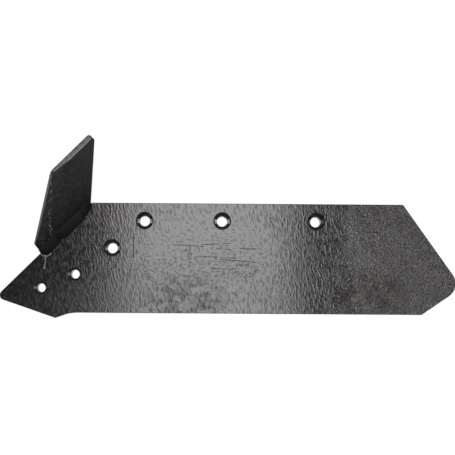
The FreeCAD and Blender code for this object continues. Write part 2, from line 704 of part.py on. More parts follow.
def main():
    doc = FreeCAD.newDocument("PloughShare")
    make_sheet(doc)
    blade = build_blade(doc)
    fin = build_fin(doc)
    doc.recompute()
    parts = [blade, fin, build_furrow_side_weld(doc, fin)]
    doc.recompute()
    check(doc, parts)
    os.makedirs("parts", exist_ok=True)
    for part in parts:
        part.Shape.exportStep(f"parts/{part.Label}.step")
        box = part.Shape.BoundBox
        print(f"{part.Label}: {part.Shape.Volume / 1000:.1f} cm3, "
              f"X {box.XMin:.1f}..{box.XMax:.1f}, Y {box.YMin:.1f}..{box.YMax:.1f}, "
              f"Z {box.ZMin:.2f}..{box.ZMax:.2f}")


main()
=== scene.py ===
import logging
import math
from dataclasses import dataclass, field
from enum import Enum
from functools import reduce

import bmesh
import bpy
import numpy as np
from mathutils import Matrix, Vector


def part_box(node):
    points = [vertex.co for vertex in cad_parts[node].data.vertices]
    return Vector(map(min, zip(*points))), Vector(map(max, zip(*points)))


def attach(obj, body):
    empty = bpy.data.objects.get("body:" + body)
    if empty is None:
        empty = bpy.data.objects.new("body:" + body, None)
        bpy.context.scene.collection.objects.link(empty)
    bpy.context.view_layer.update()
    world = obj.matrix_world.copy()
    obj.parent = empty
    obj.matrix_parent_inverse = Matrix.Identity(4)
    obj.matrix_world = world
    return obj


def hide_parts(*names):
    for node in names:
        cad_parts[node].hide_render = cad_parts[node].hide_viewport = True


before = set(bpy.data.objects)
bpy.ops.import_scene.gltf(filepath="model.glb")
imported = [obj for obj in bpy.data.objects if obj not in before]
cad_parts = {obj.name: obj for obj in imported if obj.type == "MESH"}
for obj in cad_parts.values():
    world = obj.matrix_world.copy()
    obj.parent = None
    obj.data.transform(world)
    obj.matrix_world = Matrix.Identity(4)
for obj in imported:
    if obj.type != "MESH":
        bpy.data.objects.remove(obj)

LOG = logging.getLogger("plough_share")
MM = 0.001
MERGE = 0.00001
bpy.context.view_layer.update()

Triple = tuple[float, float, float]


# ------------------------------------------------------------------ shader maths

class Value:
    """A number socket that adds a Math node for each operator used on it."""

    def __init__(self, shader: "Shader", socket: bpy.types.NodeSocket) -> None:
        """Keeps the socket and the shader that it belongs to."""
        self.shader = shader
        self.socket = socket

    def __add__(self, other: "Number") -> "Value":
        """self + other."""
        return self.shader.math("ADD", self, other)

    __radd__ = __add__

    def __sub__(self, other: "Number") -> "Value":
        """self - other."""
        return self.shader.math("SUBTRACT", self, other)

    def __rsub__(self, other: "Number") -> "Value":
        """other - self."""
        return self.shader.math("SUBTRACT", other, self)

    def __mul__(self, other: "Number") -> "Value":
        """self * other."""
        return self.shader.math("MULTIPLY", self, other)

    __rmul__ = __mul__

    def __truediv__(self, other: "Number") -> "Value":
        """self / other."""
        return self.shader.math("DIVIDE", self, other)

    def __rtruediv__(self, other: "Number") -> "Value":
        """other / self."""
        return self.shader.math("DIVIDE", other, self)

    def least(self, other: "Number") -> "Value":
        """The smaller of self and other."""
        return self.shader.math("MINIMUM", self, other)

    def most(self, other: "Number") -> "Value":
        """The larger of self and other."""
        return self.shader.math("MAXIMUM", self, other)

    def clamped(self) -> "Value":
        """Self held between 0 and 1."""
        return self.least(1.0).most(0.0)

    def rise(self, low: float, high: float) -> "Value":
        """A smooth step.

        Args:
            low: where the step starts; it may be above high for a falling step.
            high: where the step ends.

        Returns:
            0 at low, 1 at high, and smooth between them.
        """
        settings = {"interpolation_type": "SMOOTHSTEP"}
        inputs = {"Value": self, "From Min": min(low, high), "From Max": max(low, high),
                  "To Min": float(low > high), "To Max": float(low <= high)}
        return Value(self.shader, self.shader.node("ShaderNodeMapRange", settings, inputs)
                     .outputs["Result"])


Number = Value | float
Place = Value | np.ndarray


class Shader:
    """A material's node tree, with short ways to add the nodes that it needs."""

    def __init__(self, name: str) -> None:
        """Starts an empty node tree in a new material of this name."""
        self.material = bpy.data.materials.new(name)
        self.material.use_nodes = True
        self.tree = self.material.node_tree
        self.tree.nodes.clear()

    def node(self, kind: str, settings: dict | None = None,
             inputs: dict | None = None) -> bpy.types.Node:
        """Adds a node.

        Args:
            kind: the node's type.
            settings: its properties, which are set first.
            inputs: a value, a Value or a socket for each named or numbered input.

        Returns:
            The new node.
        """
        node = self.tree.nodes.new(kind)
        for key, value in (settings or {}).items():
            setattr(node, key, value)
        for key, value in (inputs or {}).items():
            if isinstance(value, Value):
                value = value.socket
            if isinstance(value, bpy.types.NodeSocket):
                self.tree.links.new(value, node.inputs[key])
            else:
                node.inputs[key].default_value = value
        return node

    def math(self, operation: str, *terms: Number) -> Value:
        """Adds a Math node and returns its result."""
        node = self.node("ShaderNodeMath", {"operation": operation}, dict(enumerate(terms)))
        return Value(self, node.outputs[0])

    def place(self) -> tuple[Value, Value, Value]:
        """The point's X, Y and Z in the object's frame, in millimetres."""
        coordinates = self.node("ShaderNodeTexCoord").outputs["Object"]
        scaled = self.node("ShaderNodeVectorMath", {"operation": "SCALE"},
                           {0: coordinates, "Scale": 1 / MM}).outputs[0]
        parts = self.node("ShaderNodeSeparateXYZ", inputs={0: scaled})
        x, y, z = (Value(self, socket) for socket in parts.outputs)
        return x, y, z

    def noise(self, x: Number, y: Number, z: Number = 0.0, detail: float = 2.0,
              rough: float = 0.5) -> Value:
        """Smooth noise from 0 to 1 whose grain is about one unit of x, y and z.

        Args:
            x, y, z: the place, already divided by the size of the grain.
            detail: how many finer layers are added.
            rough: how strong the finer layers are.

        Returns:
            The noise at the place.
        """
        place = self.node("ShaderNodeCombineXYZ", inputs={0: x, 1: y, 2: z}).outputs[0]
        noise = self.node("ShaderNodeTexNoise", {"noise_dimensions": "3D"},
                          {"Vector": place, "Scale": 1.0, "Detail": detail, "Roughness": rough})
        return Value(self, noise.outputs[0])

    def blend(self, factor: Number, low: object, high: object) -> bpy.types.NodeSocket:
        """Mixes two colours, each a colour socket or (red, green, blue)."""
        low, high = ((*c, 1.0) if isinstance(c, tuple) else c for c in (low, high))
        settings = {"data_type": "RGBA", "blend_type": "MIX"}
        return self.node("ShaderNodeMix", settings,
                         {0: factor, 6: low, 7: high}).outputs[2]

    def finish(self, colour: object, roughness: Number, height: Value | None = None,
               constants: dict | None = None) -> bpy.types.Material:
        """Ends the tree in a Principled shader.

        Args:
            colour: the base colour, a socket or (red, green, blue).
            roughness: the roughness.
            height: the relief in metres, for the normal.
            constants: further sockets that hold one value all over.

        Returns:
            The finished material.
        """
        colour = (*colour, 1.0) if isinstance(colour, tuple) else colour
        inputs = {"Base Color": colour, "Roughness": roughness, **(constants or {})}
        if height is not None:
            bump = self.node("ShaderNodeBump", inputs={
                "Strength": 1.0, "Distance": 1.0, "Height": height})
            inputs["Normal"] = bump.outputs[0]
        surface = self.node("ShaderNodeBsdfPrincipled", inputs=inputs)
        self.node("ShaderNodeOutputMaterial", inputs={"Surface": surface.outputs[0]})
        return self.material


# ------------------------------------------------------------------ finishes

@dataclass(frozen=True)
class Streak:
    """A straight mark on the working face, in millimetres."""

    start: tuple[float, float]
    end: tuple[float, float]
    width: float

    def strength(self, shader: Shader, x: Value, y: Value) -> Value:
        """How strong the mark is at a point.

        It falls smoothly from 1 on the line to 0 at the mark's width, by the
        distance from the point to the nearest place on the line.

        Args:
            shader: the tree to add it to.
            x, y: the point.

        Returns:
            The strength, from 0 to 1.
        """
        run_x, run_y = self.end[0] - self.start[0], self.end[1] - self.start[1]
        square = run_x ** 2 + run_y ** 2
        along = ((x - self.start[0]) * (run_x / square)
                 + (y - self.start[1]) * (run_y / square)).clamped()
        off_x = x - self.start[0] - along * run_x
        off_y = y - self.start[1] - along * run_y
        return shader.math("SQRT", off_x * off_x + off_y * off_y).rise(self.width, 0.0)


@dataclass(frozen=True)
class Oval:
    """A soft oval patch of the working face, in millimetres."""

    centre: tuple[float, float]
    reach: tuple[float, float]

    def strength(self, x: Value, y: Value) -> Value:
        """1 at the centre, falling smoothly to 0 at the edge."""
        off_x, off_y = (x - self.centre[0]) / self.reach[0], (y - self.centre[1]) / self.reach[1]
        return (off_x * off_x + off_y * off_y).rise(1.0, 0.0)


@dataclass(frozen=True)
class RolledPaint:
    """Semi-gloss black paint that follows the grain of hot-rolled steel.

    Sizes are in millimetres and colours are linear.  A dent, a pit or a
    scratch is duller than the paint round it, so it is rougher there, and the
    metal share lowers its shine without making it look like metal, because
    the base colour is nearly black.
    """

    paint: Triple = (0.0085, 0.0075, 0.0068)
    dull: Triple = (0.0150, 0.0128, 0.0116)
    reddish: Triple = (0.0330, 0.0190, 0.0165)
    brown: Triple = (0.085, 0.045, 0.032)
    # darker tone for the scratches and pits, and painted shade in the valleys of the grain
    darker_tone: Triple = (0.005, 0.005, 0.005)
    # light grey for the painted highlight in the nib slots
    slot_highlight_grey: Triple = (0.22, 0.205, 0.19)
    gloss: float = 0.13
    low_haze: float = 0.06
    mottle_haze: float = 0.05
    pit_haze: float = 0.10
    mark_haze: float = 0.10
    rust_haze: float = 0.25
    contrast: float = 0.15
    grain: float = 0.18
    wing_grain: float = 0.75
    swell: float = 0.12
    pitting: float = 0.03
    pit_depth: float = 0.06
    mark_depth: float = 0.05
    index: float = 1.58
    wing: tuple[float, float] = (225, 300)
    face_level: tuple[float, float] = (10.2, 11.4)
    slot_level: tuple[float, float] = (11.4, 10.6)
    worn_middle: Oval = Oval((84, -44), (128, 56))
    pitted_band: Oval = Oval((62, -68), (118, 28))
    ring_rim: Oval = Oval((137, -67), (24, 14))
    ring_inside: Oval = Oval((138, -66), (14, 7))
    drawn_area: Oval = Oval((96, -42), (85, 28))
    rust_mark: Oval = Oval((60.5, -43), (5.5, 13))
    top_corner: Oval = Oval((-48, 6), (34, 30))
    low_edge: Oval = Oval((58, -106), (70, 44))
    wing_low: Oval = Oval((310, -98), (62, 44))
    slot_highlight_spots: tuple[Oval, Oval] = (Oval((-103.2, -73.3), (2.6, 2.6)),
                                Oval((-149.6, -92.2), (2.6, 2.6)))
    scratches: tuple[Streak, ...] = (
        Streak((-15.1, -22), (-15.3, -51), 1.1),
        Streak((39, -33), (80, -34.5), 1.0),
        Streak((80, -32), (116, -30.5), 1.0),
        Streak((98, -38), (117, -39), 0.9),
        Streak((130, -37), (152, -38), 1.3),
        Streak((74, -48), (125, -50.5), 1.0),
        Streak((103, -52), (152, -56), 1.1),
        Streak((92, -64.5), (116, -65.5), 1.0),
        Streak((58.5, -93), (58.5, -100), 0.9),
    )

    def rolled_grain(self, shader: Shader, place: tuple[Value, Value, Value],
                     wing: Value, calm: Value) -> Value:
        """The grain of the rolled surface, about 0.5 on average.

        It is an upright grain where calm is 0.  Where calm is 1 it is a fine
        grain, which gives way to a slanted one towards the wing.

        Args:
            shader: the tree to add it to.
            place: the swayed X and Y, and Z.
            wing: 1 at the wing.
            calm: 1 in the worn middle and at the wing.

        Returns:
            The grain.
        """
        x, y, z = place
        upright = shader.noise(x / 2.6 + y / 16, y / 8.0, z / 4, 1.5, 0.4)
        fine = shader.noise(x / 4.6, y / 3.2, z / 3, 2.0, 0.5)
        slanted = shader.noise((x - y) / 3.2 + 5, (x + y) / 5.6, z / 4, 2.0, 0.5)
        return upright * (1 - calm) + (fine * (1 - wing) + slanted * wing) * calm

    def scratched(self, shader: Shader, place: tuple[Value, Value], sway: Value,
                  waver: Value) -> Value:
        """The long scratches and the faint lines drawn along the bar.

        Args:
            shader: the tree to add it to.
            place: X and Y.
            sway: X with the sway of the grain.
            waver: how far a scratch wanders off its line.

        Returns:
            1 on a mark and 0 off it.
        """
        x, y = place
        lines = [streak.strength(shader, x + waver * 0.6, y + waver) for streak in self.scratches]
        marks = reduce(Value.most, lines)
        marks = marks * shader.noise(x / 7, y / 4, 1.0, 2.0).rise(0.30, 0.44)
        drawn = shader.noise(sway / 22 + 2, y / 1.5, 0.0, 2.0, 0.5).rise(0.56, 0.68)
        return marks.most(drawn * self.drawn_area.strength(x, y) * 0.6)

    def material(self, name: str) -> bpy.types.Material:
        """Builds the finish of the rolled bar.

        An upright leathery grain runs all over.  It is fine and flat in the
        worn middle of the bar, and slants towards the wing.  Dark pits gather
        in a band below the middle, thin scratches run along the bar, and
        rust-brown and reddish tints lie over them.  The pits, scratches and
        rust are on the working face only.

        Args:
            name: the material's name.

        Returns:
            The material.
        """
        shader = Shader(name)
        x, y, z = shader.place()
        sway_x = (shader.noise(x / 34, y / 34, z / 34, 2.0) - 0.5) * 15
        sway_y = (shader.noise(x / 30 + 7.3, y / 30, z / 34, 2.0) - 0.5) * 12
        wx, wy = x + sway_x, y + sway_y
        face = z.rise(*self.face_level)

        wing = x.rise(*self.wing)
        calm = self.worn_middle.strength(x, y).most(wing)
        grain = self.rolled_grain(shader, (wx, wy, z), wing, calm)
        swell = shader.noise(wx / 9, wy / 13, z / 12, 2.0, 0.5)
        relief = grain * (self.grain + wing * self.wing_grain) + swell * self.swell
        valleys = grain.rise(0.54, 0.36)

        pits = shader.noise(x / 2.2, y / 2.0, z / 3, 3.0, 0.6)
        clumps = shader.noise(x / 9, y / 6, z / 9, 2.0, 0.6).rise(0.36, 0.62)
        band = self.pitted_band.strength(x, y) * clumps
        ring = self.ring_rim.strength(x, y) - self.ring_inside.strength(x, y)
        pitted = pits.rise(0.50, 0.62) * (band * 0.9).most(ring * 1.3).clamped() * face

        waver = (shader.noise(x / 7, y / 7, 4.0, 2.0) - 0.5) * 2.2
        marks = self.scratched(shader, (x, y), wx, waver) * face
        relief = relief + pits * self.pitting - pitted * self.pit_depth - marks * self.mark_depth

        mottle = shader.noise(wx / 11, wy / 8, z / 9, 4.0, 0.65)
        rust = self.rust_mark.strength(x + waver * 2, y)
        rust = rust * shader.noise(x / 2.6, y / 2.6, 2.0, 3.0).rise(0.40, 0.52) * face
        tinted = self.top_corner.strength(x, y).most(x.rise(215, 330) * 0.6)
        warm = tinted * shader.noise(x / 24, y / 17, 6.0, 2.0).rise(0.30, 0.62)
        # Painted highlight: a light grey spot on the floor of each nib slot of the nose
        # countersinks.
        slot_highlight_spots = z.rise(*self.slot_level) * self.slot_highlight_spots[0].strength(x, y).most(
            self.slot_highlight_spots[1].strength(x, y))

        colour = shader.blend(mottle.rise(0.45, 0.66), self.paint, self.dull)
        colour = shader.blend(warm * 0.8, colour, self.reddish)
        # Darker in the scratches and pits, and painted shade in the valleys of the grain.
        darker_marks_and_valley_shade = (marks * 0.8).most(pitted * 0.6).most(valleys * 0.45)
        colour = shader.blend(darker_marks_and_valley_shade, colour, self.darker_tone)
        colour = shader.blend(rust * 0.85, colour, self.brown)
        colour = shader.blend(slot_highlight_spots * 0.9, colour, self.slot_highlight_grey)

        haze = y.rise(-40, -120) * x.rise(260, 120) * self.low_haze
        rough = self.gloss + haze + mottle.rise(0.40, 0.75) * self.mottle_haze
        rough = rough + valleys * self.contrast
        rough = rough + pitted * self.pit_haze + marks * self.mark_haze + rust * self.rust_haze

        flat = (self.low_edge.strength(x, y) * 0.55).most(self.wing_low.strength(x, y) * 0.6)
        lost_shine = (valleys * 0.18 + flat * mottle.rise(0.34, 0.62) * face).most(marks * 0.75)
        lost_shine = lost_shine.most(pitted * 0.60).clamped()
        constants = {"IOR": self.index, "Metallic": lost_shine}
        return shader.finish(colour, rough, relief * MM, constants)


@dataclass(frozen=True)
class FinShape:
    """The fin's outline and knife bevel, in millimetres and degrees.

    A place on the fin's furrow side is p, along the base from the toe, and
    up, which runs up the fin from the back face.
    """

    height: float = 92.2
    lead_angle: float = 42.2
    lead_start: tuple[float, float] = (5.27, 27.1)
    rear_angle: float = 55.2
    rear_start: float = 88.1
    bevel_width: float = 19.5
    bevel_drop: float = 4.2

    def inside_lead(self, p: Place, up: Place) -> Place:
        """How far a place is inside the leading edge, square to it."""
        turn = math.radians(self.lead_angle)
        return ((p - self.lead_start[0]) * math.sin(turn)
                - (up - self.lead_start[1]) * math.cos(turn))

    def inside_rear(self, p: Place, up: Place) -> Place:
        """How far a place is inside the rear edge, square to it."""
        turn = math.radians(self.rear_angle)
        return up * math.cos(turn) - (p - self.rear_start) * math.sin(turn)

    def bevel_level(self, p: np.ndarray, up: np.ndarray) -> np.ndarray:
        """How far out the furrow side is: 0 on the flat, falling straight to the edge."""
        return -self.bevel_drop * np.clip(1 - self.inside_lead(p, up) / self.bevel_width, 0, 1)


@dataclass(frozen=True)
class FinPaint:
    """Black paint on cut flat bar, with fine draw lines and worn arrises, painted shade on the
    bevel, its shoulder and the foot, and a painted highlight on the inner top arris.
    """

    paint: Triple = (0.0135, 0.0126, 0.0120)
    # darker paint for the bevel facet: painted shade
    bevel: Triple = (0.0085, 0.0080, 0.0077)
    # near black for the painted shade along the bevel's shoulder
    shoulder_shade: Triple = (0.003, 0.003, 0.003)
    cloud: Triple = (0.034, 0.031, 0.029)
    # near black for the painted shade at the foot of the fin
    foot: Triple = (0.0035, 0.0033, 0.0032)
    worn: Triple = (0.215, 0.200, 0.192)
    # light grey for the painted highlight along the inner top arris
    arris_highlight_grey: Triple = (0.30, 0.275, 0.26)
    rubbed_pink: Triple = (0.085, 0.050, 0.044)
    scuff: Triple = (0.20, 0.18, 0.17)
    gloss: float = 0.42
    index: float = 1.5

    def material(self, name: str, landside: "Landside", shape: FinShape,
                 top: float) -> bpy.types.Material:
        """Builds the finish.

        The place on the fin is worked out from the point: p along the landside
        edge, up the fin's furrow side, and out of it.

        Args:
            name: the material's name.
            landside: the edge that the fin stands on.
            shape: the fin's outline.
            top: the height of the fin's top edge, up the fin.

        Returns:
            The material.
        """
        shader = Shader(name)
        x, y, z = shader.place()
        p, up, out = landside.fin_place(x, y, z)
        inside = shape.inside_lead(p, up)
        lines = shader.noise(p / 16, up / 2.2, out / 3, 2.0)
        grain = shader.noise(x / 1.3, y / 1.3, z / 1.3, 2.0)
        mottle = shader.noise(x / 7, y / 7, z / 7, 4.0, 0.65)
        speckle = shader.noise(x / 1.7, y / 1.7, z / 1.7, 3.0, 0.65)
        coarse = shader.noise(x / 2.6, y / 2.6, z / 2.6, 3.0, 0.6).rise(0.36, 0.60)
        rubbed = speckle.rise(0.30, 0.66)

        on_bevel = inside.rise(20.5, 16.5)
        shoulder_shade = inside.rise(17.0, 19.0) * inside.rise(22.5, 20.0)
        top_edge = up.rise(top - 0.9, top - 0.2)
        outer = out.rise(-7.8, -5.0)
        arris_highlight = top_edge * out.rise(-2.6, -0.4)
        lead_land = inside.rise(0.9, 0.2) * up.rise(30, 45)
        rear = shape.inside_rear(p, up).rise(1.6, 0.4) * up.rise(top * 0.45, top * 0.75)
        low = up.rise(42, 16) * on_bevel.most(0.35)
        scuffs = low * speckle.rise(0.54, 0.62) * mottle.rise(0.44, 0.54)

        # Painted shade: the knife bevel takes a darker paint than the flat of the fin.
        colour = shader.blend(on_bevel, self.paint, self.bevel)
        # Painted shade: a dark line along the shoulder where the bevel meets the flat.
        colour = shader.blend(shoulder_shade * 0.6, colour, self.shoulder_shade)
        colour = shader.blend(mottle.rise(0.44, 0.66) * 0.8, colour, self.cloud)
        colour = shader.blend(top_edge * (0.18 + 0.22 * outer + 0.60 * coarse), colour, self.worn)
        # Painted shade: darker towards the base of the fin, next to the weld.
        colour = shader.blend(up.rise(44, 18) * 0.8, colour, self.foot)
        # Painted highlight: a light line along the inner arris of the fin's top edge, its strength
        # varied by a speckle.
        colour = shader.blend(arris_highlight * (0.3 + 0.7 * rubbed), colour, self.arris_highlight_grey)
        colour = shader.blend(lead_land * (0.35 + rubbed * 0.5), colour, self.worn)
        colour = shader.blend(rear * rubbed * 0.8, colour, self.rubbed_pink)
        colour = shader.blend(scuffs * 0.8, colour, self.scuff)
        relief = lines * 0.05 + grain * 0.04 + mottle * 0.22 + speckle * top_edge * 0.25
        rough = self.gloss + mottle * 0.16 + top_edge * 0.1
        return shader.finish(colour, rough, relief * MM, {"IOR": self.index})


@dataclass(frozen=True)
class WeldPaint:
    """Black paint over weld metal, darker than the paint on the blade and fin: a painted shade for
    the corner between them.
    """

    # Painted shade: near black, darker than the paint elsewhere.
    paint: Triple = (0.0040, 0.0038, 0.0036)
    gloss: float = 0.45
    index: float = 1.27

    def material(self, name: str) -> bpy.types.Material:
        """Builds the finish and returns its material."""
        shader = Shader(name)
        x, y, z = shader.place()
        grain = shader.noise(x / 1.4, y / 1.4, z / 1.4, 3.0, 0.6)
        rough = self.gloss + grain * 0.2
        return shader.finish(self.paint, rough, grain * (0.10 * MM), {"IOR": self.index})


@dataclass(frozen=True)
class DropPaint:
    """Light grey paint over spatter and runs, rubbed a little at the tops; the grey is partly
    painted highlight, where the drops catch the light.
    """

    # light grey: partly painted highlight, partly paint rubbed off the drops
    paint: Triple = (0.095, 0.088, 0.084)
    rubbed: Triple = (0.27, 0.25, 0.24)
    gloss: float = 0.32

    def material(self, name: str) -> bpy.types.Material:
        """Builds the finish and returns its material."""
        shader = Shader(name)
        x, y, z = shader.place()
        grain = shader.noise(x / 0.8, y / 0.8, z / 0.8, 2.0)
        colour = shader.blend(grain.rise(0.35, 0.65), self.paint, self.rubbed)
        return shader.finish(colour, self.gloss + grain * 0.15)


# ------------------------------------------------------------------ meshes

def surface(name: str, points: np.ndarray, wrap: bool = True) -> bpy.types.Object:
    """Makes a mesh from a grid of points.

    Args:
        name: the piece's name.
        points: rows of points, (rows, columns, 3), in metres.
        wrap: whether the last column joins the first.

    Returns:
        The new object, linked to the scene and smooth shaded.
    """
    rows, columns = points.shape[:2]
    index = np.arange(rows * columns).reshape(rows, columns)
    if wrap:
        index = np.hstack([index, index[:, :1]])
    quads = np.stack([index[:-1, :-1], index[:-1, 1:], index[1:, 1:], index[1:, :-1]], axis=-1)
    mesh = bpy.data.meshes.new(name)
    mesh.from_pydata(points.reshape(-1, 3).tolist(), [], quads.reshape(-1, 4).tolist())
    mesh.shade_smooth()
    piece = bpy.data.objects.new(name, mesh)
    bpy.context.scene.collection.objects.link(piece)
    return piece


def close_and_face_out(piece: bpy.types.Object) -> None:
    """Merges points that meet, then turns every face outwards."""
    shell = bmesh.new()
    shell.from_mesh(piece.data)
    bmesh.ops.remove_doubles(shell, verts=shell.verts, dist=MERGE)
    bmesh.ops.recalc_face_normals(shell, faces=shell.faces)
    shell.to_mesh(piece.data)
    shell.free()


def softened(node: str, name: str, width: float, sharp: float = 28.0) -> bpy.types.Object:
    """Copies a CAD node with its arrises rounded.

    The copy is merged, its flat faces are joined, and every edge that turns
    by more than the sharp angle is rounded.

    Args:
        node: the CAD node.
        name: the piece's name.
        width: the size of the rounding, in millimetres.
        sharp: the least turn that is rounded, in degrees.

    Returns:
        The new object.
    """
    shell = bmesh.new()
    shell.from_mesh(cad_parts[node].data)
    bmesh.ops.remove_doubles(shell, verts=shell.verts, dist=MERGE)
    bmesh.ops.dissolve_limit(shell, angle_limit=math.radians(0.5), verts=shell.verts,
                             edges=shell.edges)
    edges = [edge for edge in shell.edges
             if len(edge.link_faces) == 2 and edge.calc_face_angle() > math.radians(sharp)]
    bmesh.ops.bevel(shell, geom=edges, offset=width * MM, offset_type="OFFSET", segments=2,
                    profile=0.5, affect="EDGES", clamp_overlap=True)
    bmesh.ops.triangulate(shell, faces=shell.faces)
    mesh = bpy.data.meshes.new(name)
    shell.to_mesh(mesh)
    shell.free()
    mesh.shade_smooth()
    mesh.set_sharp_from_angle(angle=math.radians(38))
    piece = bpy.data.objects.new(name, mesh)
    bpy.context.scene.collection.objects.link(piece)
    flat = piece.modifiers.new("flat_faces", "WEIGHTED_NORMAL")
    flat.mode, flat.weight, flat.keep_sharp = "FACE_AREA", 100, True
    return piece


def dress(piece: bpy.types.Object, material: bpy.types.Material) -> None:
    """Gives a piece or a CAD node one material all over."""
    piece.data.materials.clear()
    piece.data.materials.append(material)


def add_piece(piece: bpy.types.Object, material: bpy.types.Material, *replaced: str) -> None:
    """Dresses a new piece, fixes it to the share and hides what it stands for."""
    dress(piece, material)
    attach(piece, "root")
    if replaced:
        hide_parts(*replaced)
    LOG.info("%s: %d faces", piece.name, len(piece.data.polygons))


# ------------------------------------------------------------------ the share

@dataclass(frozen=True)
class Landside:
    """The slanted edge that the fin stands on, in millimetres and degrees.

    A place beside it is given by p, up the edge from the toe of the fin, n,
    square to the edge and outwards, and h, above the working face.
    """

    angle: float = 44.6
    corner_setback: float = 71.0
    fin_run: float = 100.15
    fin_lean: float = 22.5
    top: float = field(default_factory=lambda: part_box("share_blade")[1][1] / MM)
    thickness: float = field(default_factory=lambda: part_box("share_blade")[1][2] / MM)

    def points(self, p: np.ndarray, n: np.ndarray, h: np.ndarray) -> np.ndarray:
        """Turns places beside the edge into points.

        The point is the top corner, moved by p less the fin's run along the
        edge and by n square to it.

        Args:
            p, n, h: arrays of one shape, in millimetres.

        Returns:
            The points in metres, with a last axis of X, Y and Z.
        """
        turn = math.radians(self.angle)
        along = p - self.fin_run
        x = -self.corner_setback + along * math.cos(turn) - n * math.sin(turn)
        y = self.top + along * math.sin(turn) + n * math.cos(turn)
        return np.stack(np.broadcast_arrays(x, y, h + self.thickness), axis=-1) * MM

    def up_fin(self, height: np.ndarray) -> tuple[np.ndarray, np.ndarray]:
        """How far out and how high a place up the fin's furrow side is."""
        lean = math.radians(self.fin_lean)
        return height * math.sin(lean), height * math.cos(lean)

    def fin_place(self, x: Value, y: Value, z: Value) -> tuple[Value, Value, Value]:
        """Turns a point into a place on the fin.

        Each result is the point, less the foot of the fin's furrow side at its
        toe, along one of three directions: up the landside edge, up the leaning
        fin, and square out of its furrow side.

        Args:
            x, y, z: the point, in millimetres.

        Returns:
            p, the height up the fin from the back face, and the distance out.
        """
        turn, lean = math.radians(self.angle), math.radians(self.fin_lean)
        foot = -self.thickness * math.tan(lean)
        foot_x = (-self.corner_setback - self.fin_run * math.cos(turn) - foot * math.sin(turn))
        foot_y = self.top - self.fin_run * math.sin(turn) + foot * math.cos(turn)
        dx, dy = x - foot_x, y - foot_y
        p = dx * math.cos(turn) + dy * math.sin(turn)
        n = dy * math.cos(turn) - dx * math.sin(turn)
        up = n * math.sin(lean) + z * math.cos(lean)
        out = z * math.sin(lean) - n * math.cos(lean)
        return p, up, out

    def on_fin(self, p: np.ndarray, up: np.ndarray, out: np.ndarray) -> np.ndarray:
        """The reverse of fin_place, as points in metres."""
        lean = math.radians(self.fin_lean)
        foot = -self.thickness * math.tan(lean)
        n = foot + up * math.sin(lean) - out * math.cos(lean)
        h = up * math.cos(lean) + out * math.sin(lean) - self.thickness
        return self.points(p, n, h)


@dataclass
class ShareBlade:
    """The rolled bar."""

    finish: RolledPaint = RolledPaint()
    arris: float = 0.35

    def build(self) -> None:
        """Softens the bar's arrises and paints it."""
        piece = softened("share_blade", "rolled_share_bar", self.arris, sharp=40)
        add_piece(piece, self.finish.material("rolled_black_paint"), "share_blade")


@dataclass
class CoulterFin:
    """The knife-edged fin, in millimetres."""

    landside: Landside
    shape: FinShape = FinShape()
    finish: FinPaint = FinPaint()
    arris: float = 0.6

    def build(self) -> None:
        """Softens the fin's arrises and paints it, worn along its edges."""
        lean = math.radians(self.landside.fin_lean)
        top = self.shape.height + self.landside.thickness / math.cos(lean)
        piece = softened("coulter_fin", "knife_edged_fin", self.arris)
        paint = self.finish.material("fin_black_paint", self.landside, self.shape, top)
        add_piece(piece, paint, "coulter_fin")


